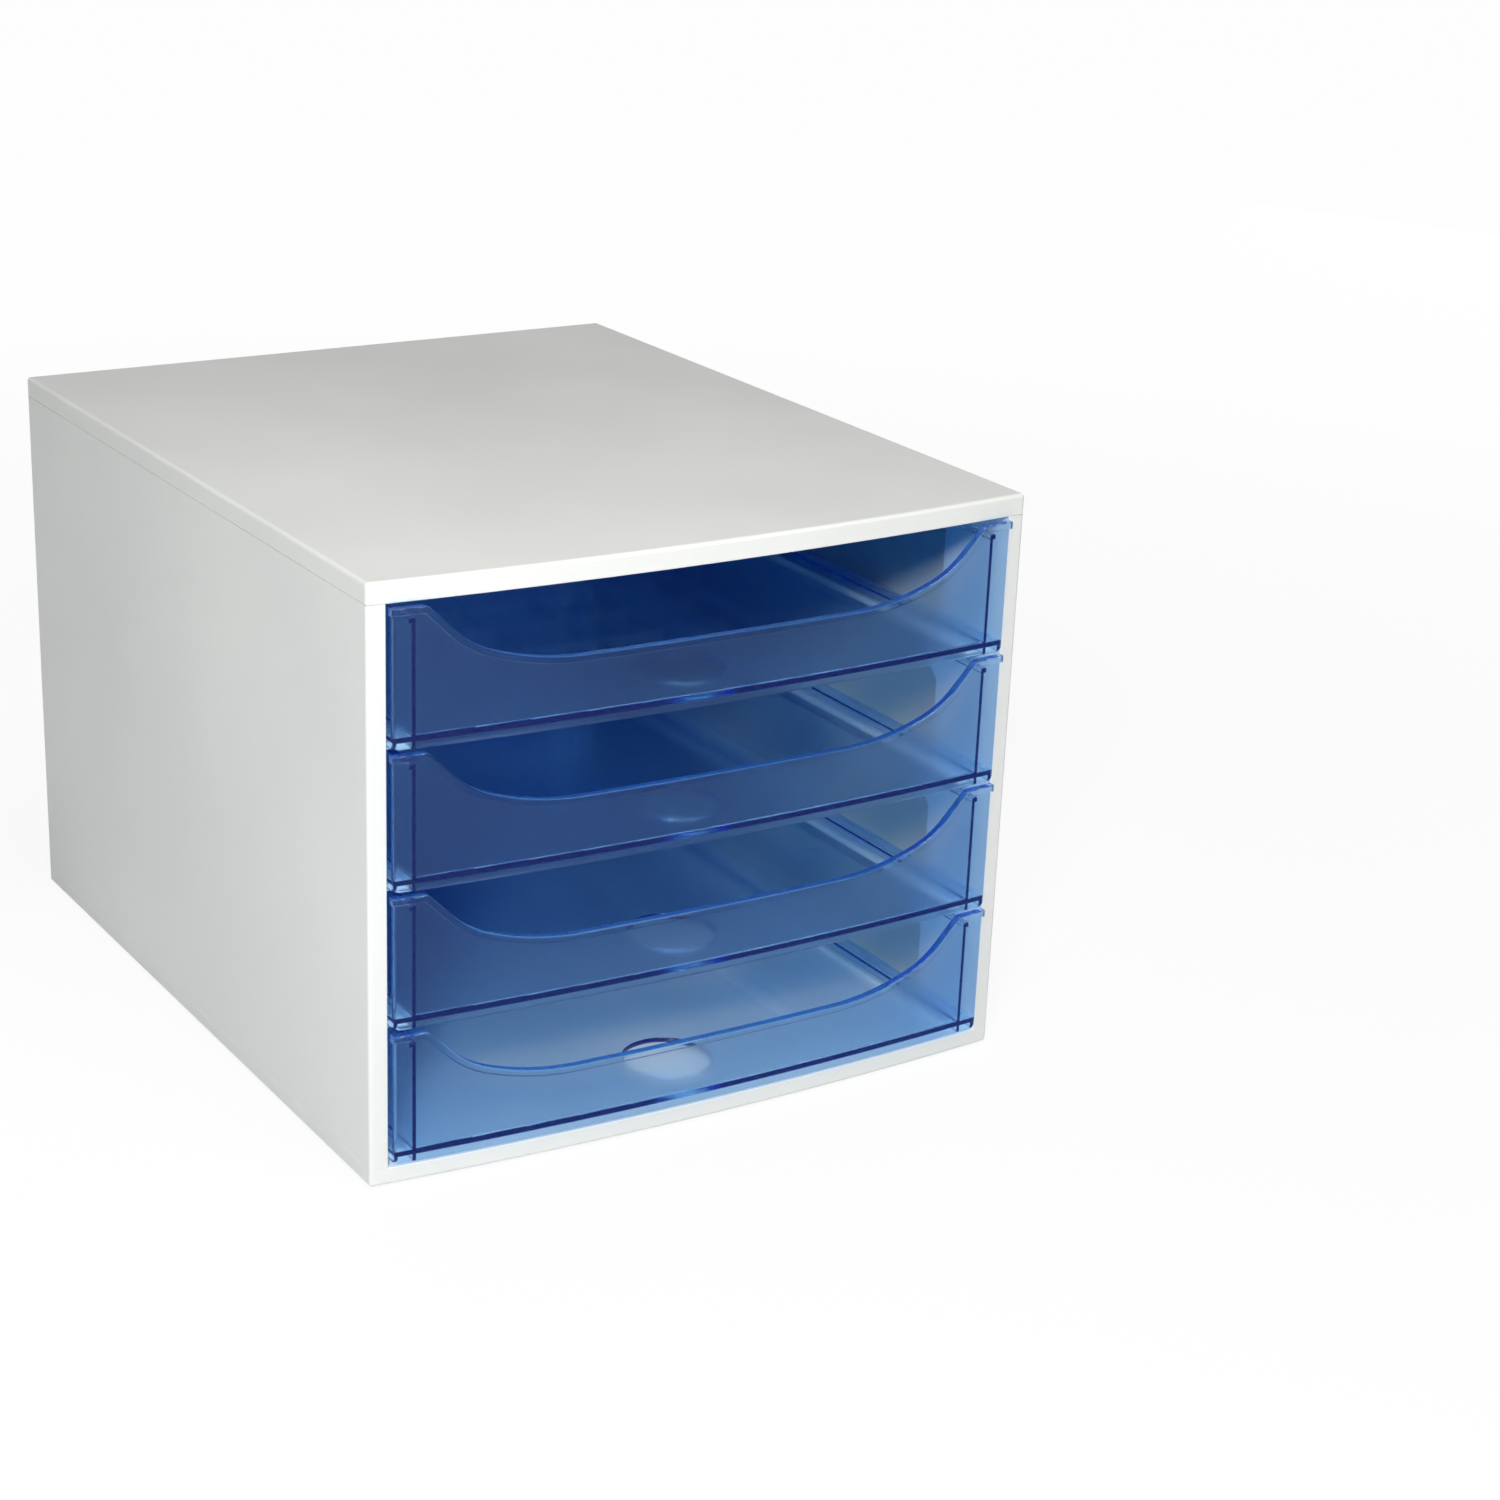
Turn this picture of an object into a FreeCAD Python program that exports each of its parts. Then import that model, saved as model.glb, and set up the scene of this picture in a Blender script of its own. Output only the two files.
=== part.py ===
import FreeCAD, Part
import os
from math import cos, radians, sin

os.makedirs("parts", exist_ok=True)

# A desktop box of plain panels that holds a stack of drawers, each one a clear coloured moulding.
# Sizes are in millimetres. +Z is up and the drawer fronts face -Y. The origin is on the surface
# that the box stands on, below the middle of its overall width and depth.

# Case, outside
case_width = 282.0
case_depth = 338.0
front_bow = 6.5
top_thickness = 8.3
base_thickness = 6.9
side_thickness = 7.3
panel_skin = 3.0
edge_round = 1.5
seam_round = 0.5

# Ribs below the top and base panels
rib_thickness = 2.0
rib_columns = 8
rib_rows = 10

# Side panels: thick posts at front and rear, a thin skin between them, and the drawer runners
front_post_depth = 39.2
rear_post_depth = 12.0
rail_height = 8.0
runner_thickness = 2.6
runner_reach = 19.6
runner_front_inset = 8.0
gusset_leg = 22.0
tongue_width = 2.0
tongue_height = 3.0
tongue_end_inset = 14.0
tongue_clearance = 0.2

# Back panel, held between the side panels, with strips that the closed drawers come up against
back_thickness = 3.0
back_inset = 1.0
back_rib_width = 12.0
back_rib_thickness = 2.0

# Feet: soft pads in recesses of the base panel
foot_radius = 7.0
foot_thickness = 2.2
foot_recess = 1.2
foot_edge_inset = 24.0
foot_round = 0.5
foot_boss_wall = 3.0

# Drawers, top to bottom as they stand in the case
drawer_count = 4
base_gap = 2.0
front_gap = 1.6
top_gap = 1.2
front_height = 52.7
front_side_gap = 1.4
front_thickness = 2.2
front_proud = 2.5
front_side_round = 1.1
front_foot_round = 2.5

# The bead along a front's top edge, and the dip in that edge
bead_height = 2.8
bead_proud = 0.8
bead_round = 0.7
dip_depth = 25.4
dip_land = 11.5
dip_corner_radius = 3.5
dip_slope_angle = 45.0
dip_upper_radius = 38.0
dip_turn_angle = 20.0
dip_lower_radius = 110.0

# The tray behind a front
wall_thickness = 1.4
wall_inset = 16.3
wall_drop = 4.3
floor_thickness = 2.0
floor_rise = 2.6
closed_gap = 0.6
wing_rear_gap = 7.0
tray_corner_radius = 6.0
floor_round = 0.8
rim_proud = 1.2
rim_height = 2.2
rim_round = 0.5
wing_side_gap = 1.6
wing_lip_thickness = 1.6
skid_lift = 0.3
runner_clearance = 0.3
finger_hole_radius = 17.5
finger_hole_setback = 23.0
finger_hole_round = 0.6

# Stops near the rear of the drawer wings, which meet the front posts when a drawer is open
stop_inset = 30.3
stop_length = 4.0
stop_reach = 3.6

# Cutting tools run this far past what they cut
overrun = 5.0

half_width = case_width / 2
overall_depth = case_depth + front_bow + front_proud + bead_proud
back_y = overall_depth / 2
corner_y = back_y - case_depth
bow_radius = (half_width ** 2 + front_bow ** 2) / (2 * front_bow)
bow_centre_y = corner_y - front_bow + bow_radius

drawer_pitch = front_height + front_gap
side_height = base_gap + drawer_count * drawer_pitch - front_gap + top_gap
foot_proud = foot_thickness - foot_recess
base_top = foot_proud + base_thickness
side_top = base_top + side_height
case_top = side_top + top_thickness
opening_half = half_width - side_thickness


def block(x0, x1, y0, y1, z0, z1):
    """A box from its lowest and highest corners."""
    return Part.makeBox(x1 - x0, y1 - y0, z1 - z0, FreeCAD.Vector(x0, y0, z0))


def mirrored(shape):
    """The same shape on the other side of the box."""
    return shape.mirror(FreeCAD.Vector(0, 0, 0), FreeCAD.Vector(1, 0, 0))


def bowed_cylinder(ahead, z0, z1):
    """All that lies behind the bowed front, moved ahead by a distance."""
    base = FreeCAD.Vector(0, bow_centre_y, z0)
    return Part.makeCylinder(bow_radius + ahead, z1 - z0, base)


def bowed_block(x0, x1, ahead, y1, z0, z1):
    """A box whose front follows the bow of the case."""
    y0 = corner_y - front_bow - max(ahead, 0) - overrun
    return block(x0, x1, y0, y1, z0, z1).common(bowed_cylinder(ahead, z0 - overrun, z1 + overrun))


def edges_at_height(shape, height):
    """The edges that lie wholly at one height."""
    tolerance = edge_round / 1000
    return [edge for edge in shape.Edges
            if abs(edge.BoundBox.ZMin - height) < tolerance
            and abs(edge.BoundBox.ZMax - height) < tolerance]


def upright_edges(shape):
    """The edges that run straight up."""
    tolerance = edge_round / 1000
    return [edge for edge in shape.Edges
            if edge.BoundBox.ZLength > tolerance
            and edge.BoundBox.XLength < tolerance and edge.BoundBox.YLength < tolerance]


def outer_slab(z0, z1, round_top, round_bottom):
    """A full-size flat panel of the case with its outer edges rounded."""
    slab = bowed_block(-half_width, half_width, 0, back_y, z0, z1)
    slab = slab.makeFillet(edge_round, upright_edges(slab))
    slab = slab.makeFillet(round_top, edges_at_height(slab, z1))
    return slab.makeFillet(round_bottom, edges_at_height(slab, z0))


def pockets(z0, z1):
    """The hollows between the ribs of a panel."""
    first_x = -opening_half
    first_y = corner_y + side_thickness
    last_y = back_y - side_thickness
    width = (2 * opening_half - (rib_columns - 1) * rib_thickness) / rib_columns
    length = (last_y - first_y - (rib_rows - 1) * rib_thickness) / rib_rows
    found = []
    for column in range(rib_columns):
        for row in range(rib_rows):
            x0 = first_x + column * (width + rib_thickness)
            y0 = first_y + row * (length + rib_thickness)
            found.append(block(x0, x0 + width, y0, y0 + length, z0, z1))
    return found


def tongue(x_centre, z0, z1, clearance):
    """A strip that keys a side panel to the panel above or below it."""
    half = tongue_width / 2 + clearance
    y0 = corner_y + tongue_end_inset - clearance
    y1 = back_y - tongue_end_inset + clearance
    return block(x_centre - half, x_centre + half, y0, y1, z0, z1)


def foot_places():
    """The middle of each foot, by name."""
    x = half_width - foot_edge_inset
    front = corner_y + foot_edge_inset
    rear = back_y - foot_edge_inset
    return {
        "front_left_foot": (-x, front),
        "front_right_foot": (x, front),
        "rear_left_foot": (-x, rear),
        "rear_right_foot": (x, rear),
    }


def make_top_panel():
    """The lid of the case: a skin on a rim, ribbed below, grooved for the side panels."""
    panel = outer_slab(side_top, case_top, edge_round, seam_round)
    panel = panel.cut(pockets(side_top - overrun, case_top - panel_skin))
    depth = tongue_height + tongue_clearance
    groove = tongue(half_width - side_thickness / 2, side_top - overrun, side_top + depth, tongue_clearance)
    return panel.cut(groove).cut(mirrored(groove))


def make_base_panel():
    """The floor of the case: flat above, ribbed below, with a boss for each foot."""
    panel = outer_slab(foot_proud, base_top, seam_round, edge_round)
    bosses = []
    for x, y in foot_places().values():
        place = FreeCAD.Vector(x, y, foot_proud)
        bosses.append(Part.makeCylinder(foot_radius + foot_boss_wall, base_thickness, place))
    panel = panel.cut(pockets(foot_proud - overrun, base_top - panel_skin))
    panel = panel.fuse(bosses).removeSplitter()
    for x, y in foot_places().values():
        place = FreeCAD.Vector(x, y, foot_proud - overrun)
        panel = panel.cut(Part.makeCylinder(foot_radius, foot_recess + overrun, place))
    depth = tongue_height + tongue_clearance
    groove = tongue(half_width - side_thickness / 2, base_top - depth, base_top + overrun, tongue_clearance)
    return panel.cut(groove).cut(mirrored(groove))


def front_bottom(level):
    """The height of a drawer front's lower edge, with level 0 the lowest drawer."""
    return base_top + base_gap + level * drawer_pitch


def runner(level):
    """A ledge that one side of a drawer slides on, with its gusset on the front post."""
    top = front_bottom(level) + skid_lift - runner_clearance
    bottom = max(top - runner_thickness, base_top)
    outside = half_width - panel_skin / 2
    ledge = bowed_block(half_width - runner_reach, outside, -runner_front_inset, back_y - back_inset
                        - back_thickness, bottom, top)
    if level == 0:
        return [ledge]
    heel = corner_y + front_post_depth
    corners = [FreeCAD.Vector(opening_half, heel - overrun, bottom),
               FreeCAD.Vector(opening_half, heel + gusset_leg, bottom),
               FreeCAD.Vector(opening_half, heel, bottom - gusset_leg),
               FreeCAD.Vector(opening_half, heel - overrun, bottom - gusset_leg)]
    profile = Part.Face(Part.makePolygon(corners + corners[:1]))
    return [ledge, profile.extrude(FreeCAD.Vector(outside - opening_half, 0, 0))]


def make_side_panel():
    """The right side panel, seen from the front; the left one is its mirror image."""
    panel = bowed_block(opening_half, half_width, 0, back_y, base_top, side_top)
    outer = [edge for edge in upright_edges(panel) if edge.BoundBox.XMax > half_width - edge_round]
    panel = panel.makeFillet(edge_round, outer)
    inner = [edge for edge in upright_edges(panel) if edge.BoundBox.XMax < opening_half + edge_round]
    panel = panel.makeFillet(seam_round, inner)
    recess = block(opening_half - overrun, half_width - panel_skin, corner_y + front_post_depth,
                   back_y - rear_post_depth, base_top + base_gap, side_top - rail_height)
    panel = panel.cut(recess)
    key_x = half_width - side_thickness / 2
    parts = [tongue(key_x, side_top - seam_round, side_top + tongue_height, 0),
             tongue(key_x, base_top - tongue_height, base_top + seam_round, 0)]
    for level in range(drawer_count):
        parts += runner(level)
    return panel.fuse(parts).removeSplitter()


def make_back_panel():
    """The rear wall, a plain sheet with two upright strips inside."""
    y1 = back_y - back_inset
    inside = y1 - back_thickness
    sheet = block(-opening_half, opening_half, inside, y1, base_top, side_top)
    strips = []
    for x in (-opening_half / 2, opening_half / 2):
        strips.append(block(x - back_rib_width / 2, x + back_rib_width / 2,
                            inside - back_rib_thickness, inside, base_top, side_top))
    return sheet.fuse(strips).removeSplitter()


def make_foot(x, y):
    """A round soft pad that sits in a recess of the base panel."""
    pad = Part.makeCylinder(foot_radius, foot_thickness, FreeCAD.Vector(x, y, 0))
    return pad.makeFillet(foot_round, edges_at_height(pad, 0))


class Path:
    """A chain of straight and round edges in an upright plane, each one tangent to the last."""

    def __init__(self, x, z, heading):
        self.x = x
        self.z = z
        self.heading = heading
        self.edges = []

    def point(self):
        return FreeCAD.Vector(self.x, 0, self.z)

    def straight(self, length):
        start = self.point()
        self.x += length * cos(radians(self.heading))
        self.z += length * sin(radians(self.heading))
        self.edges.append(Part.LineSegment(start, self.point()).toShape())

    def bend(self, radius, turn):
        """Turn left by an angle, or right where it is below zero."""
        side = 1 if turn > 0 else -1
        towards = radians(self.heading + 90 * side)
        centre_x = self.x + radius * cos(towards)
        centre_z = self.z + radius * sin(towards)
        points = [self.point()]
        for share in (1 / 2, 1):
            angle = towards + radians(180 + turn * share)
            points.append(FreeCAD.Vector(centre_x + radius * cos(angle), 0, centre_z + radius * sin(angle)))
        self.edges.append(Part.Arc(*points).toShape())
        self.x = points[-1].x
        self.z = points[-1].z
        self.heading += turn


def dip_path(end_x, drop, top):
    """The top edge of a drawer front from right to left, or a line at a drop below it.

    It runs level, turns down round a small corner, sweeps into the long shallow dip, and
    does the same again the other way round."""
    slope = radians(dip_slope_angle)
    turn = radians(dip_turn_angle)
    fall = (dip_corner_radius * (1 - cos(slope)) + dip_upper_radius * (cos(turn) - cos(slope))
            + dip_lower_radius * (1 - cos(turn)))
    slope_length = (dip_depth - fall) / sin(slope)
    reach = (dip_corner_radius * sin(slope) + slope_length * cos(slope)
             + dip_upper_radius * (sin(slope) - sin(turn)) + dip_lower_radius * sin(turn))
    land_x = opening_half - front_side_gap - dip_land
    first = dip_slope_angle - dip_turn_angle
    path = Path(end_x, top - drop, 180)
    path.straight(end_x - land_x)
    path.bend(dip_corner_radius - drop, dip_slope_angle)
    path.straight(slope_length)
    path.bend(dip_upper_radius + drop, -first)
    path.bend(dip_lower_radius + drop, -dip_turn_angle)
    path.straight(2 * (land_x - reach))
    path.bend(dip_lower_radius + drop, -dip_turn_angle)
    path.bend(dip_upper_radius + drop, -first)
    path.straight(slope_length)
    path.bend(dip_corner_radius - drop, dip_slope_angle)
    path.straight(end_x - land_x)
    return path


def upright_prism(edges):
    """The solid that an outline in the upright plane sweeps from front to back."""
    face = Part.Face(Part.Wire(Part.sortEdges(edges)[0]))
    start = corner_y - front_bow - front_proud - bead_proud - overrun
    face.translate(FreeCAD.Vector(0, start, 0))
    return face.extrude(FreeCAD.Vector(0, front_post_depth, 0))


def bowed_plate(edges, ahead_outer, ahead_inner, bottom, top):
    """A plate of the given outline between two bowed surfaces."""
    prism = upright_prism(edges)
    plate = prism.common(bowed_cylinder(ahead_outer, bottom - overrun, top + overrun))
    return plate.cut(bowed_cylinder(ahead_inner, bottom - overrun, top + overrun))


def line(x0, z0, x1, z1):
    """A straight edge in the upright plane."""
    return Part.LineSegment(FreeCAD.Vector(x0, 0, z0), FreeCAD.Vector(x1, 0, z1)).toShape()


def make_front(bottom):
    """A drawer's front: a bowed plate with a dipped top edge that carries a bead."""
    top = bottom + front_height
    half = opening_half - front_side_gap
    inner = front_proud - front_thickness
    corner = front_foot_round
    path = Path(half, bottom + corner, -90)
    path.bend(corner, -90)
    path.straight(2 * (half - corner))
    path.bend(corner, -90)
    sides = [line(half, top, half, bottom + corner), line(-half, bottom + corner, -half, top)]
    outline = dip_path(half, 0, top).edges + sides + path.edges
    plate = bowed_plate(outline, front_proud, inner, bottom, top)
    uprights = upright_edges(plate)
    foremost = min(edge.BoundBox.YMin for edge in uprights)
    outer_edges = [edge for edge in uprights if edge.BoundBox.YMin < foremost + front_thickness / 2]
    plate = plate.makeFillet(front_side_round, outer_edges)
    end = half + bead_proud
    ends = [line(end, top, end, top - bead_height), line(-end, top, -end, top - bead_height)]
    outline = dip_path(end, 0, top).edges + dip_path(end, bead_height, top).edges + ends
    bead = bowed_plate(outline, front_proud + bead_proud, inner, bottom, top)
    outer_radius = bow_radius + front_proud + bead_proud
    outer = [face for face in bead.Faces if isinstance(face.Surface, Part.Cylinder)
             and abs(face.Surface.Radius - outer_radius) < bead_round]
    bead = bead.makeFillet(bead_round, outer[0].Edges)
    return plate.fuse(bead)


def make_tray(bottom):
    """The open tray behind a front, as its outside and the hollow to cut from it."""
    floor_bottom = bottom + floor_rise
    floor_top = floor_bottom + floor_thickness
    wall_top = bottom + front_height - wall_drop
    outer = half_width - wall_inset
    rear = back_y - back_inset - back_thickness - back_rib_thickness - closed_gap - rim_proud
    inner_front = front_proud - front_thickness

    def shell(reach, z0, z1):
        body = bowed_block(-outer - reach, outer + reach, inner_front, rear + reach, z0, z1)
        corners = [edge for edge in upright_edges(body) if edge.BoundBox.YMin > rear - overrun]
        return body.makeFillet(tray_corner_radius + reach, corners)

    hollow = shell(-wall_thickness, floor_top, wall_top + front_height)
    hollow = hollow.makeFillet(floor_round, edges_at_height(hollow, floor_top))
    rim = shell(rim_proud, wall_top - rim_height, wall_top)
    rim_edges = edges_at_height(rim, wall_top) + edges_at_height(rim, wall_top - rim_height)
    rim = rim.makeFillet(rim_round, rim_edges)
    return [shell(0, floor_bottom, wall_top), rim], hollow


def make_wing(bottom):
    """The slide of one side: a flange with two skids that ride on the runner, and its stop."""
    floor_bottom = bottom + floor_rise
    floor_top = floor_bottom + floor_thickness
    outer = half_width - wall_inset
    tip = opening_half - wing_side_gap
    ahead = front_proud - front_thickness
    rear = back_y - rear_post_depth - wing_rear_gap
    skid_bottom = bottom + skid_lift
    stop_rear = rear - stop_inset
    flange = bowed_block(outer - wall_thickness, tip, ahead, rear, floor_bottom, floor_top)
    inner_skid = bowed_block(outer - wall_thickness, outer, ahead, rear, skid_bottom, floor_top)
    outer_skid = bowed_block(tip - wing_lip_thickness, tip, ahead, rear, skid_bottom, floor_top)
    stop = block(tip - wing_lip_thickness, tip + stop_reach, stop_rear - stop_length, stop_rear,
                 skid_bottom, floor_top)
    return [flange, inner_skid, outer_skid, stop]


def make_drawer(level):
    """One whole drawer, with level 0 the lowest."""
    bottom = front_bottom(level)
    floor_bottom = bottom + floor_rise
    outside, hollow = make_tray(bottom)
    wing = make_wing(bottom)
    body = make_front(bottom).fuse(outside + wing + [mirrored(piece) for piece in wing])
    body = body.cut(hollow).removeSplitter()
    hole = Part.makeCylinder(finger_hole_radius, floor_thickness + 2 * overrun,
                             FreeCAD.Vector(0, corner_y + finger_hole_setback, floor_bottom - overrun))
    body = body.cut(hole)
    rims = [edge for edge in body.Edges
            if edge.BoundBox.XLength > 2 * finger_hole_radius - finger_hole_round
            and abs(edge.BoundBox.XLength - edge.BoundBox.YLength) < finger_hole_round / 10]
    return body.makeFillet(finger_hole_round, rims)


nodes = {
    "top_panel": make_top_panel(),
    "base_panel": make_base_panel(),
    "right_side_panel": make_side_panel(),
    "back_panel": make_back_panel(),
}
nodes["left_side_panel"] = mirrored(nodes["right_side_panel"])
for name, (x, y) in foot_places().items():
    nodes[name] = make_foot(x, y)
for level in range(drawer_count):
    nodes["drawer_" + str(drawer_count - level)] = make_drawer(level)

for name, shape in nodes.items():
    shape.exportStep(os.path.join("parts", name + ".step"))
    box = shape.BoundBox
    print(name, "solids", len(shape.Solids), "valid", shape.isValid(), "volume", round(shape.Volume),
          "size", round(box.XLength, 1), round(box.YLength, 1), round(box.ZLength, 1))
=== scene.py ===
from math import radians

import bpy
from mathutils import Matrix, Vector

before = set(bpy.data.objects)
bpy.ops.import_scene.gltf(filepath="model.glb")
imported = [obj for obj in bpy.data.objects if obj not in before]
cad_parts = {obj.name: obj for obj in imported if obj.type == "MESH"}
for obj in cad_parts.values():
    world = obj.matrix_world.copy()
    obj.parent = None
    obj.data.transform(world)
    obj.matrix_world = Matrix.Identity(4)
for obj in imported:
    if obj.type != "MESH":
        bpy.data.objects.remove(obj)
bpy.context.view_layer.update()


# The case: a lid, a base and two side walls, moulded in white satin plastic and clipped together.
# Every outer corner has a small round, and the faces carry the fine, dull grain of the mould.

# A Mix node has sockets of the same name for numbers and for colours, so they go by place.
number_a, number_b, number_out = 2, 3, 0
colour_a, colour_b, colour_out = 6, 7, 2


def group_socket(group, name, direction, kind, value=None):
    """Adds an input or an output to a shader node group."""
    socket = group.interface.new_socket(name=name, in_out=direction, socket_type=kind)
    if value is not None:
        socket.default_value = value
    return socket


def add_node(tree, kind, place, **settings):
    """Adds a shader node at a place in the node editor."""
    node = tree.nodes.new(kind)
    node.location = place
    for name, value in settings.items():
        setattr(node, name, value)
    return node


def mould_grain_group():
    """Fine grain of a mould, with a slow change of sheen as on plastic that has been handled."""
    group = bpy.data.node_groups.new("mould_grain", "ShaderNodeTree")
    group_socket(group, "Grain Per Metre", "INPUT", "NodeSocketFloat", 2500.0)
    group_socket(group, "Cloud Per Metre", "INPUT", "NodeSocketFloat", 9.0)
    group_socket(group, "Lowest Roughness", "INPUT", "NodeSocketFloat", 0.3)
    group_socket(group, "Highest Roughness", "INPUT", "NodeSocketFloat", 0.5)
    group_socket(group, "Dark Color", "INPUT", "NodeSocketColor", (0.7, 0.7, 0.7, 1.0))
    group_socket(group, "Light Color", "INPUT", "NodeSocketColor", (0.8, 0.8, 0.8, 1.0))
    group_socket(group, "Color", "OUTPUT", "NodeSocketColor")
    group_socket(group, "Roughness", "OUTPUT", "NodeSocketFloat")
    group_socket(group, "Height", "OUTPUT", "NodeSocketFloat")
    enter = add_node(group, "NodeGroupInput", (-900, 0))
    leave = add_node(group, "NodeGroupOutput", (500, 0))
    place = add_node(group, "ShaderNodeTexCoord", (-900, -300))
    grain = add_node(group, "ShaderNodeTexNoise", (-600, -300))
    grain.inputs["Detail"].default_value = 2.0
    grain.inputs["Roughness"].default_value = 0.6
    cloud = add_node(group, "ShaderNodeTexNoise", (-600, 100))
    cloud.inputs["Detail"].default_value = 5.0
    cloud.inputs["Roughness"].default_value = 0.55
    spread = add_node(group, "ShaderNodeMapRange", (-350, 100))
    spread.inputs["From Min"].default_value = 0.3
    spread.inputs["From Max"].default_value = 0.7
    grain_in_roughness = 0.35
    speck = add_node(group, "ShaderNodeMath", (-350, -200), operation="MULTIPLY_ADD")
    speck.inputs[1].default_value = grain_in_roughness
    sheen = add_node(group, "ShaderNodeMix", (0, 0), data_type="FLOAT")
    shade = add_node(group, "ShaderNodeMix", (0, 250), data_type="RGBA")
    group.links.new(place.outputs["Object"], grain.inputs["Vector"])
    group.links.new(place.outputs["Object"], cloud.inputs["Vector"])
    group.links.new(enter.outputs["Grain Per Metre"], grain.inputs["Scale"])
    group.links.new(enter.outputs["Cloud Per Metre"], cloud.inputs["Scale"])
    group.links.new(cloud.outputs["Fac"], spread.inputs["Value"])
    group.links.new(grain.outputs["Fac"], speck.inputs[0])
    group.links.new(spread.outputs["Result"], speck.inputs[2])
    group.links.new(speck.outputs[0], sheen.inputs["Factor"])
    group.links.new(enter.outputs["Lowest Roughness"], sheen.inputs[number_a])
    group.links.new(enter.outputs["Highest Roughness"], sheen.inputs[number_b])
    group.links.new(spread.outputs["Result"], shade.inputs["Factor"])
    group.links.new(enter.outputs["Dark Color"], shade.inputs[colour_a])
    group.links.new(enter.outputs["Light Color"], shade.inputs[colour_b])
    group.links.new(shade.outputs[colour_out], leave.inputs["Color"])
    group.links.new(sheen.outputs[number_out], leave.inputs["Roughness"])
    group.links.new(grain.outputs["Fac"], leave.inputs["Height"])
    return group


def edge_rub_group():
    """A mask that is 1 on edges rubbed by handling and 0 on the flats, broken up along the edge."""
    group = bpy.data.node_groups.new("edge_rub", "ShaderNodeTree")
    group_socket(group, "Width", "INPUT", "NodeSocketFloat", 0.0008)
    group_socket(group, "Amount", "INPUT", "NodeSocketFloat", 0.5)
    group_socket(group, "Mask", "OUTPUT", "NodeSocketFloat")
    enter = add_node(group, "NodeGroupInput", (-900, 0))
    leave = add_node(group, "NodeGroupOutput", (500, 0))
    soft = add_node(group, "ShaderNodeBevel", (-650, 0), samples=4)
    sharp = add_node(group, "ShaderNodeNewGeometry", (-650, -200))
    match = add_node(group, "ShaderNodeVectorMath", (-400, 0), operation="DOT_PRODUCT")
    edge = add_node(group, "ShaderNodeMapRange", (-200, 0))
    edge.inputs["From Min"].default_value = 0.995
    edge.inputs["From Max"].default_value = 0.85
    place = add_node(group, "ShaderNodeTexCoord", (-900, -350))
    broken = add_node(group, "ShaderNodeTexNoise", (-400, -350))
    broken.inputs["Scale"].default_value = 70.0
    broken.inputs["Detail"].default_value = 4.0
    gate = add_node(group, "ShaderNodeMapRange", (-200, -350))
    gate.inputs["From Min"].default_value = 0.4
    gate.inputs["From Max"].default_value = 0.65
    both = add_node(group, "ShaderNodeMath", (50, 0), operation="MULTIPLY")
    amount = add_node(group, "ShaderNodeMath", (250, 0), operation="MULTIPLY")
    group.links.new(enter.outputs["Width"], soft.inputs["Radius"])
    group.links.new(soft.outputs["Normal"], match.inputs[0])
    group.links.new(sharp.outputs["Normal"], match.inputs[1])
    group.links.new(match.outputs["Value"], edge.inputs["Value"])
    group.links.new(place.outputs["Object"], broken.inputs["Vector"])
    group.links.new(broken.outputs["Fac"], gate.inputs["Value"])
    group.links.new(edge.outputs["Result"], both.inputs[0])
    group.links.new(gate.outputs["Result"], both.inputs[1])
    group.links.new(both.outputs[0], amount.inputs[0])
    group.links.new(enter.outputs["Amount"], amount.inputs[1])
    group.links.new(amount.outputs[0], leave.inputs["Mask"])
    return group


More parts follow.
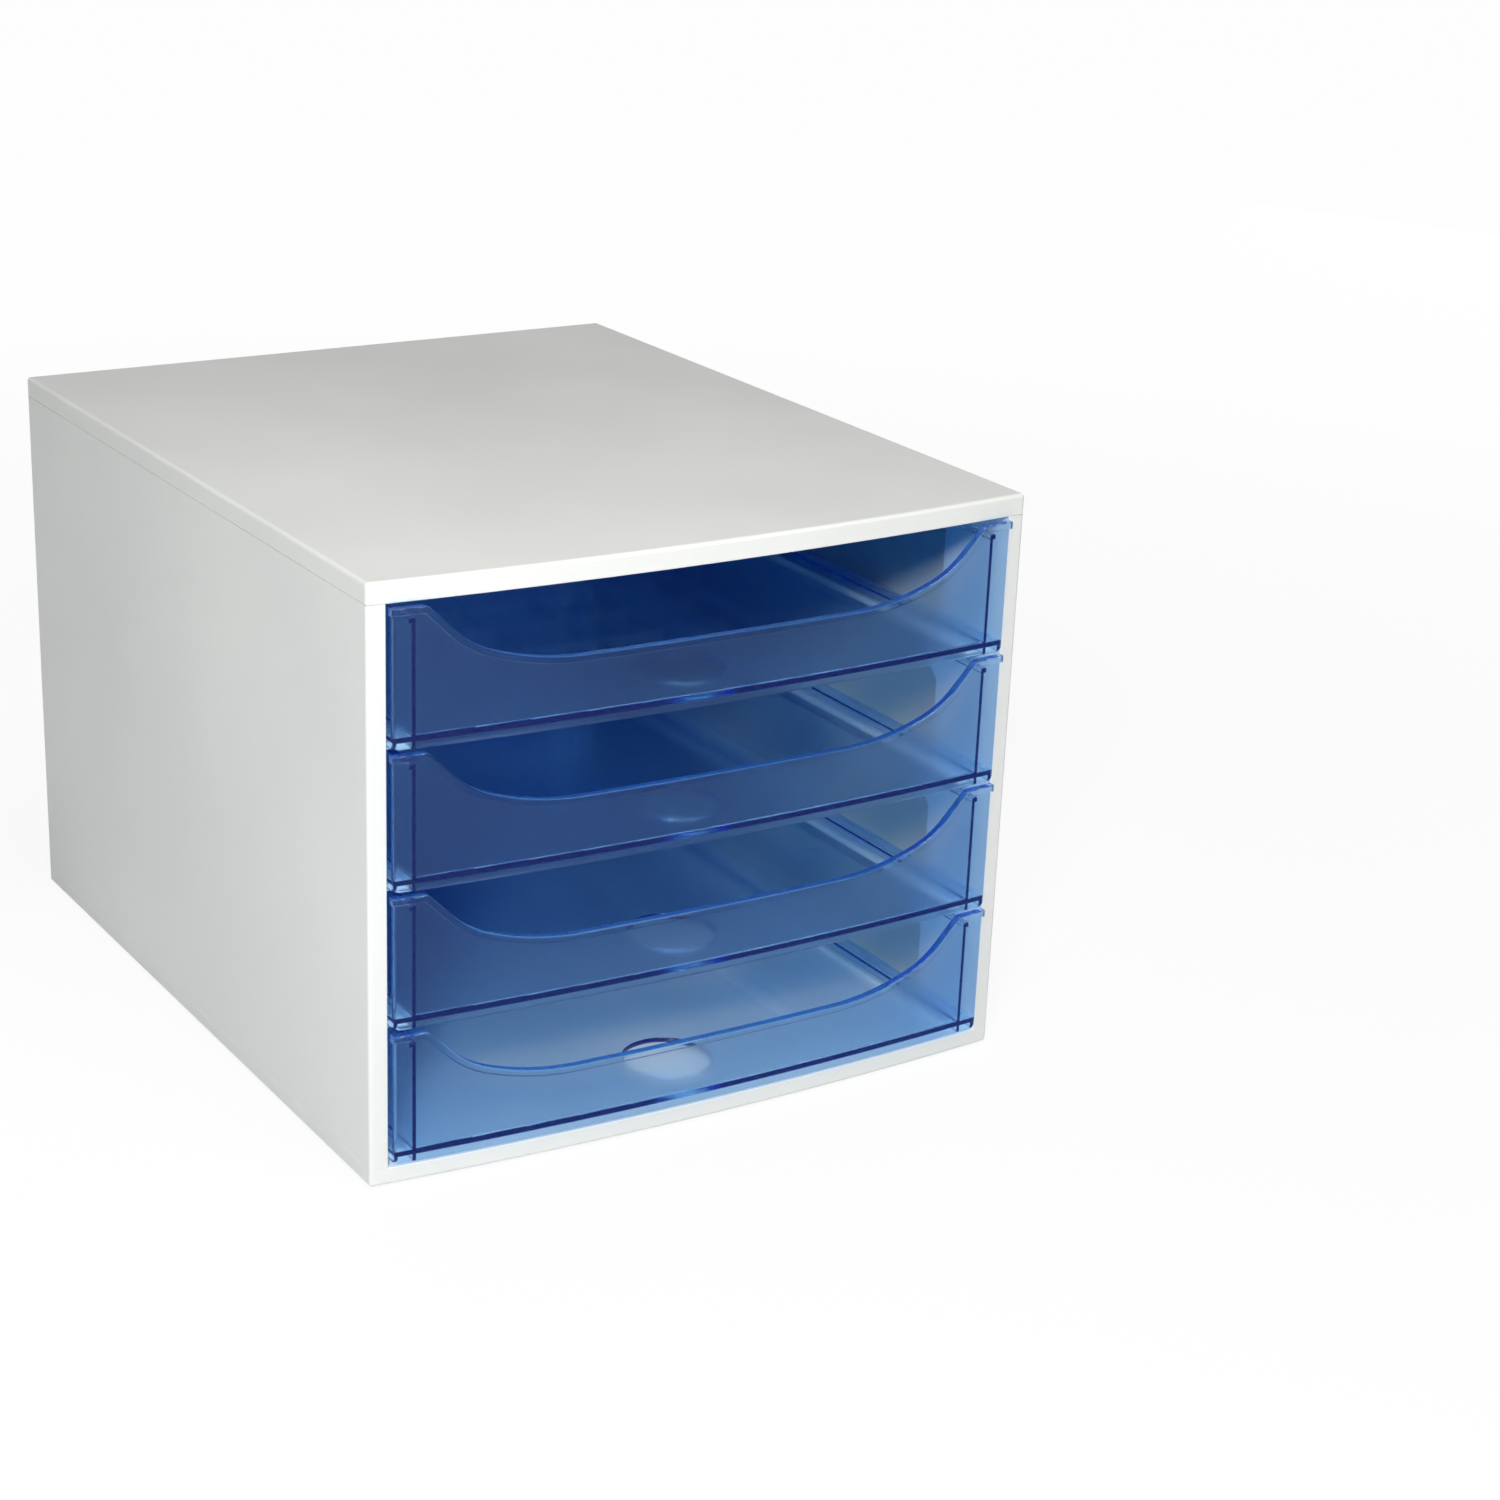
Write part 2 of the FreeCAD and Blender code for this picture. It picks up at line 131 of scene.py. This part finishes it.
def case_inside_group():
    """Masks of the case's inner faces, and of the thin skins between the posts of its sides, where
    light and shade are painted.
    """
    group = bpy.data.node_groups.new("case_inside", "ShaderNodeTree")
    group_socket(group, "Opening Half", "INPUT", "NodeSocketFloat", 0.1337)
    group_socket(group, "Skin Place", "INPUT", "NodeSocketFloat", 0.138)
    group_socket(group, "Floor Place", "INPUT", "NodeSocketFloat", 0.0079)
    group_socket(group, "Roof Place", "INPUT", "NodeSocketFloat", 0.2267)
    group_socket(group, "Inner Face", "OUTPUT", "NodeSocketFloat")
    group_socket(group, "Thin Skin", "OUTPUT", "NodeSocketFloat")
    slack = 0.0002
    least_facing = 0.7
    enter = add_node(group, "NodeGroupInput", (-1100, 200))
    leave = add_node(group, "NodeGroupOutput", (700, 0))
    place = add_node(group, "ShaderNodeTexCoord", (-1300, 0))
    parts = add_node(group, "ShaderNodeSeparateXYZ", (-1100, 0))
    side = add_node(group, "ShaderNodeMath", (-900, 0), operation="ABSOLUTE")
    turn = add_node(group, "ShaderNodeSeparateXYZ", (-1100, -400))
    facing = add_node(group, "ShaderNodeMath", (-900, -400), operation="ABSOLUTE")
    flat = add_node(group, "ShaderNodeMath", (-700, -400), operation="GREATER_THAN")
    flat.inputs[1].default_value = least_facing
    on_skin = add_node(group, "ShaderNodeMath", (-600, 0), operation="COMPARE")
    on_skin.inputs[2].default_value = slack
    skin = add_node(group, "ShaderNodeMath", (-300, 0), operation="MULTIPLY")
    limits = []
    for height, value, limit, slack_sign, operation in (
            (200, side.outputs[0], "Opening Half", 1, "LESS_THAN"),
            (400, parts.outputs["Z"], "Roof Place", 1, "LESS_THAN"),
            (600, parts.outputs["Z"], "Floor Place", -1, "GREATER_THAN")):
        moved = add_node(group, "ShaderNodeMath", (-600, height), operation="ADD")
        moved.inputs[1].default_value = slack_sign * slack
        test = add_node(group, "ShaderNodeMath", (-400, height), operation=operation)
        group.links.new(enter.outputs[limit], moved.inputs[0])
        group.links.new(value, test.inputs[0])
        group.links.new(moved.outputs[0], test.inputs[1])
        limits.append(test)
    between = add_node(group, "ShaderNodeMath", (-150, 300), operation="MULTIPLY")
    inner = add_node(group, "ShaderNodeMath", (50, 300), operation="MULTIPLY")
    group.links.new(place.outputs["Object"], parts.inputs[0])
    group.links.new(parts.outputs["X"], side.inputs[0])
    group.links.new(place.outputs["Normal"], turn.inputs[0])
    group.links.new(turn.outputs["X"], facing.inputs[0])
    group.links.new(facing.outputs[0], flat.inputs[0])
    group.links.new(side.outputs[0], on_skin.inputs[0])
    group.links.new(enter.outputs["Skin Place"], on_skin.inputs[1])
    group.links.new(on_skin.outputs[0], skin.inputs[0])
    group.links.new(flat.outputs[0], skin.inputs[1])
    group.links.new(limits[0].outputs[0], between.inputs[0])
    group.links.new(limits[1].outputs[0], between.inputs[1])
    group.links.new(between.outputs[0], inner.inputs[0])
    group.links.new(limits[2].outputs[0], inner.inputs[1])
    group.links.new(inner.outputs[0], leave.inputs["Inner Face"])
    group.links.new(skin.outputs[0], leave.inputs["Thin Skin"])
    return group


mould_grain = mould_grain_group()
case_inside = case_inside_group()
edge_rub = edge_rub_group()


# Painted light: the inner faces of the case get a brighter white than the outside, standing in for
# lamp light falling into the box.
painted_light_inside_white = (0.92, 0.93, 0.92, 1.0)
# Painted shade: the thin skins behind the posts are multiplied darker and warmer than the rest of
# the inside.
painted_shade_skin_tint = (0.9, 0.85, 0.78, 1.0)


def white_plastic(name, dark, light, rubbed, smoothest, roughest):
    """Satin white moulding: a pale body colour, a dull grain and slightly rubbed edges.

    The inner faces are painted a brighter white, painted light for the lamp light that falls into
    the box, and the thin skins between the posts are multiplied darker and warmer, painted shade."""
    material = bpy.data.materials.new(name)
    material.use_nodes = True
    tree = material.node_tree
    tree.nodes.clear()
    finish = add_node(tree, "ShaderNodeOutputMaterial", (700, 0))
    plastic = add_node(tree, "ShaderNodeBsdfPrincipled", (400, 0))
    plastic.inputs["IOR"].default_value = 1.5
    grain = add_node(tree, "ShaderNodeGroup", (-300, 0), node_tree=mould_grain)
    grain.inputs["Grain Per Metre"].default_value = 2200.0
    grain.inputs["Cloud Per Metre"].default_value = 7.0
    grain.inputs["Lowest Roughness"].default_value = smoothest
    grain.inputs["Highest Roughness"].default_value = roughest
    grain.inputs["Dark Color"].default_value = (*dark, 1.0)
    grain.inputs["Light Color"].default_value = (*light, 1.0)
    rub = add_node(tree, "ShaderNodeGroup", (-300, 350), node_tree=edge_rub)
    rub.inputs["Width"].default_value = 0.0009
    rub.inputs["Amount"].default_value = 0.45
    colour = add_node(tree, "ShaderNodeMix", (100, 200), data_type="RGBA")
    colour.inputs[colour_b].default_value = (*rubbed, 1.0)
    bump = add_node(tree, "ShaderNodeBump", (100, -200))
    bump.inputs["Strength"].default_value = 0.25
    bump.inputs["Distance"].default_value = 0.00008
    inside = add_node(tree, "ShaderNodeGroup", (-300, 600), node_tree=case_inside)
    # Painted light: the inner faces are mixed towards a brighter white.
    painted_light_inner_colour = add_node(tree, "ShaderNodeMix", (150, 350), data_type="RGBA")
    painted_light_inner_colour.inputs[colour_b].default_value = painted_light_inside_white
    # Painted shade: the thin skins are multiplied by a darker, warmer tint.
    painted_shade_skin_colour = add_node(tree, "ShaderNodeMix", (250, 350), data_type="RGBA",
                           blend_type="MULTIPLY")
    painted_shade_skin_colour.inputs[colour_b].default_value = painted_shade_skin_tint
    tree.links.new(rub.outputs["Mask"], colour.inputs["Factor"])
    tree.links.new(grain.outputs["Color"], colour.inputs[colour_a])
    tree.links.new(inside.outputs["Inner Face"], painted_light_inner_colour.inputs["Factor"])
    tree.links.new(colour.outputs[colour_out], painted_light_inner_colour.inputs[colour_a])
    tree.links.new(inside.outputs["Thin Skin"], painted_shade_skin_colour.inputs["Factor"])
    tree.links.new(painted_light_inner_colour.outputs[colour_out], painted_shade_skin_colour.inputs[colour_a])
    tree.links.new(painted_shade_skin_colour.outputs[colour_out], plastic.inputs["Base Color"])
    tree.links.new(grain.outputs["Roughness"], plastic.inputs["Roughness"])
    tree.links.new(grain.outputs["Height"], bump.inputs["Height"])
    tree.links.new(bump.outputs["Normal"], plastic.inputs["Normal"])
    tree.links.new(plastic.outputs["BSDF"], finish.inputs["Surface"])
    return material


def give(node_name, material):
    """Puts one material on every face of a piece."""
    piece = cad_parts[node_name]
    for slot in piece.material_slots:
        slot.material = material
    if not piece.material_slots:
        piece.data.materials.append(material)


case_white = white_plastic("case_white", dark=(0.738, 0.748, 0.722), light=(0.772, 0.782, 0.757),
                           rubbed=(0.86, 0.865, 0.85), smoothest=0.34, roughest=0.5)
for panel in ("top_panel", "base_panel", "left_side_panel", "right_side_panel"):
    give(panel, case_white)


# The back panel: a thinner sheet of the same plastic, slid in between the side walls.
# Nobody handles it, so it is a little duller and its edges are unrubbed.

back_white = white_plastic("back_white", dark=(0.72, 0.725, 0.715), light=(0.76, 0.76, 0.75),
                           rubbed=(0.78, 0.78, 0.77), smoothest=0.45, roughest=0.6)
give("back_panel", back_white)


# The feet: four small pads of soft grey rubber, pressed into recesses of the base.
# Rubber is matt, with a coarser grain than the plastic round it.

foot_rubber = bpy.data.materials.new("foot_rubber")
foot_rubber.use_nodes = True
rubber_tree = foot_rubber.node_tree
rubber = rubber_tree.nodes["Principled BSDF"]
rubber.inputs["Specular IOR Level"].default_value = 0.3
rubber_grain = add_node(rubber_tree, "ShaderNodeGroup", (-500, 0), node_tree=mould_grain)
rubber_grain.inputs["Grain Per Metre"].default_value = 900.0
rubber_grain.inputs["Cloud Per Metre"].default_value = 120.0
rubber_grain.inputs["Lowest Roughness"].default_value = 0.7
rubber_grain.inputs["Highest Roughness"].default_value = 0.9
rubber_grain.inputs["Dark Color"].default_value = (0.07, 0.07, 0.075, 1.0)
rubber_grain.inputs["Light Color"].default_value = (0.12, 0.12, 0.125, 1.0)
rubber_bump = add_node(rubber_tree, "ShaderNodeBump", (-200, -250))
rubber_bump.inputs["Strength"].default_value = 0.5
rubber_bump.inputs["Distance"].default_value = 0.0002
rubber_tree.links.new(rubber_grain.outputs["Color"], rubber.inputs["Base Color"])
rubber_tree.links.new(rubber_grain.outputs["Roughness"], rubber.inputs["Roughness"])
rubber_tree.links.new(rubber_grain.outputs["Height"], rubber_bump.inputs["Height"])
rubber_tree.links.new(rubber_bump.outputs["Normal"], rubber.inputs["Normal"])
for foot in ("front_left_foot", "front_right_foot", "rear_left_foot", "rear_right_foot"):
    give(foot, foot_rubber)


# The drawers: each is one clear blue moulding, with its bowed front, tray and slides in one.
# The dye takes the red out of light first, so one wall looks pale blue, and light that has
# run along a wall or through many walls comes out deep blue. The fronts' outer faces are satin.

case_half_width = 0.141
case_bow = 0.0065
case_corner = -0.1641
front_proud = 0.0025
bow_radius = (case_half_width ** 2 + case_bow ** 2) / (2 * case_bow)
satin_radius = bow_radius + front_proud
satin_roughness = 0.26
dye_colour = (0.02, 0.6, 0.97, 1.0)
dye_per_metre = 80.0
# Painted glow: the drawers give off a faint blue light of their own, though they are no lamp.
painted_blue_glow_colour = (0.0, 0.08, 1.0, 1.0)
painted_blue_glow = 0.004
lamp_light_kept = (0.93, 0.945, 0.955, 1.0)
soft_light_kept = (0.55, 0.8, 0.94, 1.0)
most_bounces = 32


def satin_front_group():
    """A mask that is 1 on the bowed outer face of a front, and 0 on its bead and all behind it."""
    group = bpy.data.node_groups.new("satin_front", "ShaderNodeTree")
    group_socket(group, "Satin Radius", "INPUT", "NodeSocketFloat", 1.5)
    group_socket(group, "Mask", "OUTPUT", "NodeSocketFloat")
    near_slack, far_slack = 0.0002, 0.0004
    enter = add_node(group, "NodeGroupInput", (-900, 200))
    leave = add_node(group, "NodeGroupOutput", (500, 0))
    place = add_node(group, "ShaderNodeTexCoord", (-1100, 0))
    shift = add_node(group, "ShaderNodeVectorMath", (-900, 0), operation="SUBTRACT")
    shift.inputs[1].default_value = (0.0, case_corner - case_bow + bow_radius, 0.0)
    flat = add_node(group, "ShaderNodeVectorMath", (-700, 0), operation="MULTIPLY")
    flat.inputs[1].default_value = (1.0, 1.0, 0.0)
    reach = add_node(group, "ShaderNodeVectorMath", (-500, 0), operation="LENGTH")
    gap = add_node(group, "ShaderNodeMath", (-300, 0), operation="SUBTRACT")
    near = add_node(group, "ShaderNodeMath", (-100, 0), operation="ABSOLUTE")
    mask = add_node(group, "ShaderNodeMapRange", (150, 0))
    mask.inputs["From Min"].default_value = far_slack
    mask.inputs["From Max"].default_value = near_slack
    group.links.new(place.outputs["Object"], shift.inputs[0])
    group.links.new(shift.outputs[0], flat.inputs[0])
    group.links.new(flat.outputs[0], reach.inputs[0])
    group.links.new(reach.outputs["Value"], gap.inputs[0])
    group.links.new(enter.outputs["Satin Radius"], gap.inputs[1])
    group.links.new(gap.outputs[0], near.inputs[0])
    group.links.new(near.outputs[0], mask.inputs["Value"])
    group.links.new(mask.outputs["Result"], leave.inputs["Mask"])
    return group


clear_blue = bpy.data.materials.new("clear_blue")
clear_blue.use_nodes = True
blue_tree = clear_blue.node_tree
blue_tree.nodes.clear()
blue_finish = add_node(blue_tree, "ShaderNodeOutputMaterial", (1000, 0))
blue_plastic = add_node(blue_tree, "ShaderNodeBsdfPrincipled", (400, 0))
blue_plastic.inputs["IOR"].default_value = 1.55
blue_plastic.inputs["Specular IOR Level"].default_value = 0.35
blue_plastic.inputs["Transmission Weight"].default_value = 1.0
# Painted glow: a faint blue emission on every face of the drawers stands in for light carried along
# the plastic, so the dark joints come out navy instead of black.
blue_plastic.inputs["Emission Color"].default_value = painted_blue_glow_colour
blue_plastic.inputs["Emission Strength"].default_value = painted_blue_glow
clear_blue.cycles.emission_sampling = "NONE"
blue_body = add_node(blue_tree, "ShaderNodeVolumeAbsorption", (700, -450))
blue_body.inputs["Color"].default_value = dye_colour
blue_body.inputs["Density"].default_value = dye_per_metre
blue_grain = add_node(blue_tree, "ShaderNodeGroup", (-300, 0), node_tree=mould_grain)
blue_grain.inputs["Grain Per Metre"].default_value = 1500.0
blue_grain.inputs["Cloud Per Metre"].default_value = 14.0
blue_grain.inputs["Lowest Roughness"].default_value = 0.03
blue_grain.inputs["Highest Roughness"].default_value = 0.08
blue_grain.inputs["Dark Color"].default_value = (0.9, 0.94, 0.98, 1.0)
blue_grain.inputs["Light Color"].default_value = (0.96, 0.98, 1.0, 1.0)
blue_bump = add_node(blue_tree, "ShaderNodeBump", (100, -200))
blue_bump.inputs["Strength"].default_value = 0.08
blue_bump.inputs["Distance"].default_value = 0.00005
satin = add_node(blue_tree, "ShaderNodeGroup", (-300, -400), node_tree=satin_front_group())
satin.inputs["Satin Radius"].default_value = satin_radius
blue_finish_blend = add_node(blue_tree, "ShaderNodeMix", (100, -50), data_type="FLOAT")
blue_finish_blend.inputs[number_b].default_value = satin_roughness
blue_lit = add_node(blue_tree, "ShaderNodeBsdfTransparent", (400, 200))
blue_pass = add_node(blue_tree, "ShaderNodeMix", (100, 250), data_type="RGBA")
blue_pass.inputs[colour_a].default_value = lamp_light_kept
blue_pass.inputs[colour_b].default_value = soft_light_kept
blue_rays = add_node(blue_tree, "ShaderNodeLightPath", (100, 500))
blue_light = add_node(blue_tree, "ShaderNodeMath", (400, 400), operation="MAXIMUM")
blue_mix = add_node(blue_tree, "ShaderNodeMixShader", (700, 100))
blue_tree.links.new(blue_grain.outputs["Color"], blue_plastic.inputs["Base Color"])
blue_tree.links.new(satin.outputs["Mask"], blue_finish_blend.inputs["Factor"])
blue_tree.links.new(blue_grain.outputs["Roughness"], blue_finish_blend.inputs[number_a])
blue_tree.links.new(blue_finish_blend.outputs[number_out], blue_plastic.inputs["Roughness"])
blue_tree.links.new(blue_grain.outputs["Height"], blue_bump.inputs["Height"])
blue_tree.links.new(blue_bump.outputs["Normal"], blue_plastic.inputs["Normal"])
blue_tree.links.new(blue_rays.outputs["Is Shadow Ray"], blue_light.inputs[0])
blue_tree.links.new(blue_rays.outputs["Is Diffuse Ray"], blue_light.inputs[1])
blue_tree.links.new(blue_rays.outputs["Is Diffuse Ray"], blue_pass.inputs["Factor"])
blue_tree.links.new(blue_pass.outputs[colour_out], blue_lit.inputs["Color"])
blue_tree.links.new(blue_light.outputs[0], blue_mix.inputs["Fac"])
blue_tree.links.new(blue_plastic.outputs["BSDF"], blue_mix.inputs[1])
blue_tree.links.new(blue_lit.outputs["BSDF"], blue_mix.inputs[2])
blue_tree.links.new(blue_mix.outputs["Shader"], blue_finish.inputs["Surface"])
blue_tree.links.new(blue_body.outputs["Volume"], blue_finish.inputs["Volume"])
for drawer in ("drawer_1", "drawer_2", "drawer_3", "drawer_4"):
    give(drawer, clear_blue)
bpy.context.scene.cycles.max_bounces = most_bounces
bpy.context.scene.cycles.glossy_bounces = most_bounces
bpy.context.scene.cycles.transmission_bounces = most_bounces
bpy.context.scene.cycles.transparent_max_bounces = most_bounces


# The floor: a wide plain sheet, nearly white, that the box stands on.
# It looks evenly white to the eye and still takes the soft shadow of the box.

floor_half = 9.0
near_box, far_from_box = 0.4, 1.3
white_near_box, white_far_out = 0.9, 0.985
paper_colour = (0.88, 0.88, 0.88, 1.0)
# Painted reflection: in glossy reflections the floor is shown darker and blue, so what the box
# mirrors of the floor is dim and bluish.
painted_reflection_floor_colour = (0.24, 0.37, 0.52, 1.0)
floor_mesh = bpy.data.meshes.new("floor")
floor_mesh.from_pydata([(-floor_half, -floor_half, 0), (floor_half, -floor_half, 0),
                        (floor_half, floor_half, 0), (-floor_half, floor_half, 0)],
                       [], [(0, 1, 2, 3)])
floor = bpy.data.objects.new("floor", floor_mesh)
bpy.context.scene.collection.objects.link(floor)
floor_paper = bpy.data.materials.new("floor_paper")
floor_paper.use_nodes = True
paper_tree = floor_paper.node_tree
paper_tree.nodes.clear()
paper_finish = add_node(paper_tree, "ShaderNodeOutputMaterial", (600, 0))
paper = add_node(paper_tree, "ShaderNodeBsdfDiffuse", (0, 0))
paper_glow = add_node(paper_tree, "ShaderNodeEmission", (0, -150))
paper_glow.inputs["Color"].default_value = (1.0, 1.0, 1.0, 1.0)
paper_rays = add_node(paper_tree, "ShaderNodeLightPath", (-800, 200))
paper_place = add_node(paper_tree, "ShaderNodeTexCoord", (-1000, 500))
paper_reach = add_node(paper_tree, "ShaderNodeVectorMath", (-750, 500), operation="LENGTH")
paper_white = add_node(paper_tree, "ShaderNodeMapRange", (-450, 500))
paper_white.inputs["From Min"].default_value = near_box
paper_white.inputs["From Max"].default_value = far_from_box
paper_white.inputs["To Min"].default_value = white_near_box
paper_white.inputs["To Max"].default_value = white_far_out
# Painted reflection: glossy rays see the darker blue floor colour, all other rays the pale one.
painted_reflection_floor_mix = add_node(paper_tree, "ShaderNodeMix", (-250, 0), data_type="RGBA")
painted_reflection_floor_mix.inputs[colour_a].default_value = paper_colour
painted_reflection_floor_mix.inputs[colour_b].default_value = painted_reflection_floor_colour
paper_share = add_node(paper_tree, "ShaderNodeMath", (0, 200), operation="MULTIPLY")
paper_mix = add_node(paper_tree, "ShaderNodeMixShader", (300, 0))
paper_tree.links.new(paper_rays.outputs["Is Glossy Ray"], painted_reflection_floor_mix.inputs["Factor"])
paper_tree.links.new(painted_reflection_floor_mix.outputs[colour_out], paper.inputs["Color"])
paper_tree.links.new(paper_place.outputs["Object"], paper_reach.inputs[0])
paper_tree.links.new(paper_reach.outputs["Value"], paper_white.inputs["Value"])
paper_tree.links.new(paper_white.outputs["Result"], paper_share.inputs[1])
paper_tree.links.new(paper_rays.outputs["Is Camera Ray"], paper_share.inputs[0])
paper_tree.links.new(paper_share.outputs[0], paper_mix.inputs["Fac"])
paper_tree.links.new(paper.outputs["BSDF"], paper_mix.inputs[1])
paper_tree.links.new(paper_glow.outputs["Emission"], paper_mix.inputs[2])
paper_tree.links.new(paper_mix.outputs["Shader"], paper_finish.inputs["Surface"])
floor_mesh.materials.append(floor_paper)


# The studio: a plain room that looks white to the camera and is dim otherwise. A small strong lamp
# in front on the left throws the patches of light inside the box. Large soft lamps stand above, on
# the left, in front, and low behind on the right.

dim_room = 0.06
room_through_plastic = 0.45
room = bpy.data.worlds.new("room")
bpy.context.scene.world = room
room.use_nodes = True
room_tree = room.node_tree
room_tree.nodes.clear()
room_finish = add_node(room_tree, "ShaderNodeOutputWorld", (600, 0))
room_rays = add_node(room_tree, "ShaderNodeLightPath", (-700, 0))
room_through = add_node(room_tree, "ShaderNodeMath", (-450, -150), operation="MULTIPLY")
room_through.inputs[1].default_value = room_through_plastic
room_seen = add_node(room_tree, "ShaderNodeMath", (-200, 0), operation="MAXIMUM")
room_strength = add_node(room_tree, "ShaderNodeMath", (50, 0), operation="MAXIMUM")
room_strength.inputs[1].default_value = dim_room
room_light = add_node(room_tree, "ShaderNodeBackground", (300, 0))
room_light.inputs["Color"].default_value = (1.0, 1.0, 1.0, 1.0)
room_tree.links.new(room_rays.outputs["Is Transmission Ray"], room_through.inputs[0])
room_tree.links.new(room_rays.outputs["Is Camera Ray"], room_seen.inputs[0])
room_tree.links.new(room_through.outputs[0], room_seen.inputs[1])
room_tree.links.new(room_seen.outputs[0], room_strength.inputs[0])
room_tree.links.new(room_strength.outputs[0], room_light.inputs["Strength"])
room_tree.links.new(room_light.outputs["Background"], room_finish.inputs["Surface"])


def soft_lamp(name, place, target, size, power):
    """A square lamp that faces a point on the box."""
    lamp = bpy.data.lights.new(name, "AREA")
    lamp.shape = "SQUARE"
    lamp.size = size
    lamp.energy = power
    holder = bpy.data.objects.new(name, lamp)
    holder.location = place
    holder.rotation_euler = (Vector(target) - Vector(place)).to_track_quat("-Z", "Y").to_euler()
    bpy.context.scene.collection.objects.link(holder)


soft_lamp("front_lamp", place=(-0.7, -0.99, 0.74), target=(0, -0.12, 0.12),
          size=0.14, power=10.1)
soft_lamp("top_lamp", place=(0, -0.6, 1.6), target=(0, 0, 0.12),
          size=1.0, power=15.6)
soft_lamp("left_lamp", place=(-1.6, 0.1, 0.5), target=(0, 0, 0.12),
          size=1.2, power=4.3)
soft_lamp("fill_lamp", place=(0.1, -1.8, 0.5), target=(0, -0.12, 0.12),
          size=1.0, power=3.4)
soft_lamp("rear_lamp", place=(1.8, 0.9, 0.3), target=(0, 0, 0.1),
          size=1.0, power=7.5)


# The camera stands in front of the box on the left, a little above it, with a short telephoto lens.
# Its place and lens were worked out from the straight edges of the case in the photograph.

camera_place = (-0.5824, -1.0946, 0.5469)
camera_turn = 31.185
camera_down = 21.51
camera_roll = 1.743
camera_lens = bpy.data.cameras.new("camera")
camera_lens.sensor_width = 36.0
camera_lens.lens = 74.508
camera_lens.shift_x = 0.0592
camera_lens.shift_y = 0.0608
camera_lens.clip_start = 0.02
camera = bpy.data.objects.new("camera", camera_lens)
camera.matrix_world = (Matrix.Translation(camera_place)
                       @ Matrix.Rotation(-radians(camera_turn), 4, "Z")
                       @ Matrix.Rotation(radians(90 - camera_down), 4, "X")
                       @ Matrix.Rotation(radians(camera_roll), 4, "Z"))
bpy.context.scene.collection.objects.link(camera)
bpy.context.scene.camera = camera
bpy.context.scene.view_settings.view_transform = "Standard"
